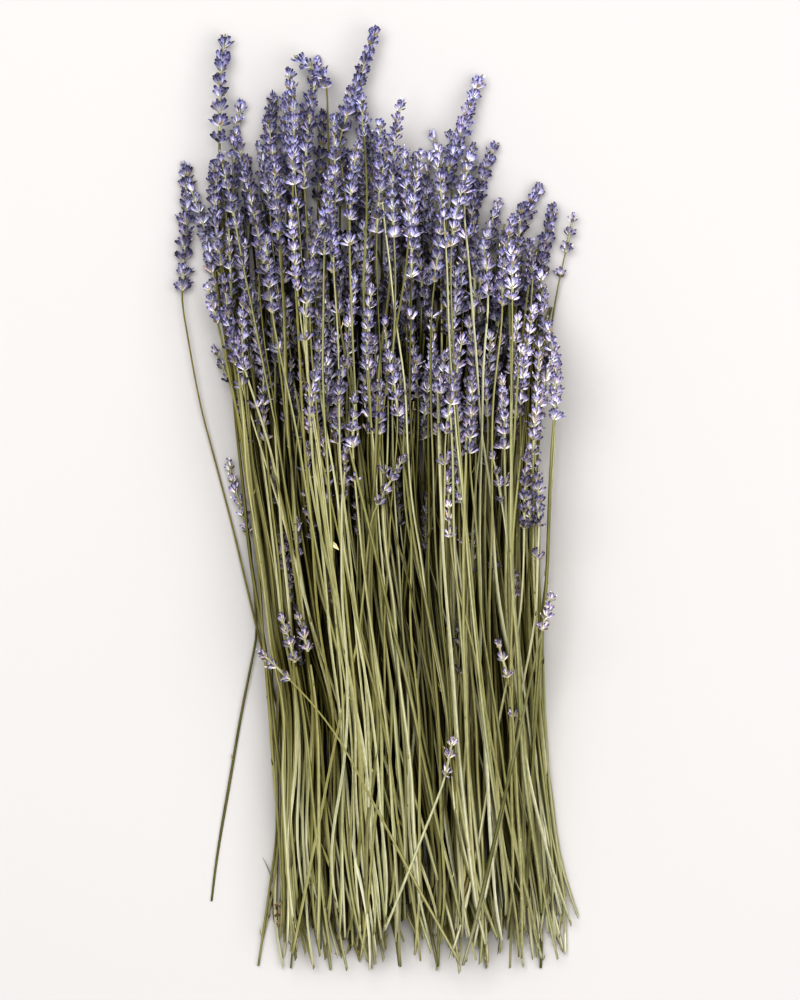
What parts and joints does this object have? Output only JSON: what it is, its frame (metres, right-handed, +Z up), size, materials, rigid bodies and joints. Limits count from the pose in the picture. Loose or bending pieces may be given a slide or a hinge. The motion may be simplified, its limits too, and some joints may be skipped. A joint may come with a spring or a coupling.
{
  "type": "bunch of dried lavender",
  "caption": "Loose, untied bunch of dried lavender lying on its side: long crossing stems, cut at one end, with whorled flower spikes at the other, for a table, shelf or drawer.",
  "frame": {"origin": "centre of the bunch's outline seen from above, on the surface it lies on", "axes": "+Y from the cut ends towards the flowers, +Z up, away from the surface"},
  "size_m": [0.183, 0.4262, 0.056],
  "materials": {
    "stem": "matt dry olive-green stems, square and finely ribbed, with straw-coloured streaks",
    "flower": "matt papery calyces, violet-blue at the tips and greyish white at the base"
  },
  "bodies": {
    "root": {"spikes_bowed_tip": "flower", "spikes_centre_brow": "flower", "spikes_far_left": "flower", "spikes_left_bank": "flower", "spikes_left_brow": "flower", "spikes_left_crossing": "flower", "spikes_left_crown": "flower", "spikes_left_last": "flower", "spikes_left_late": "flower", "spikes_left_low_pair": "flower", "spikes_left_middle_bank": "flower", "spikes_left_middle_brow": "flower", "spikes_left_shoulder": "flower", "spikes_left_stray": "flower", "spikes_left_wisp": "flower", "spikes_middle_bank": "flower", "spikes_middle_brow": "flower", "spikes_middle_crown": "flower", "spikes_middle_late": "flower", "spikes_middle_left_bank": "flower", "spikes_pale_sprig": "flower", "spikes_right_brow": "flower", "spikes_right_bud": "flower", "spikes_right_crossing": "flower", "spikes_right_crown": "flower", "spikes_right_edge": "flower", "spikes_right_edge_brow": "flower", "spikes_right_last": "flower", "spikes_right_late": "flower", "spikes_right_middle_bank": "flower", "spikes_right_middle_brow": "flower", "spikes_right_peak": "flower", "spikes_right_ridge": "flower", "spikes_right_rim": "flower", "spikes_right_slope": "flower", "spikes_right_sprig": "flower", "spikes_tall_left": "flower", "spikes_tall_middle": "flower", "spikes_tall_right": "flower", "stems_crossed_pair": "stem", "stems_late_left": "stem", "stems_late_middle": "stem", "stems_late_right": "stem", "stems_left_low": "stem", "stems_left_middle_low": "stem", "stems_left_middle_upper": "stem", "stems_left_top": "stem", "stems_left_upper": "stem", "stems_middle_low": "stem", "stems_middle_top": "stem", "stems_middle_upper": "stem", "stems_right_middle_low": "stem", "stems_right_middle_top": "stem", "stems_right_top": "stem", "stems_right_upper": "stem", "stems_tall_left": "stem", "stems_tall_right": "stem"}
  },
  "joints": []
}
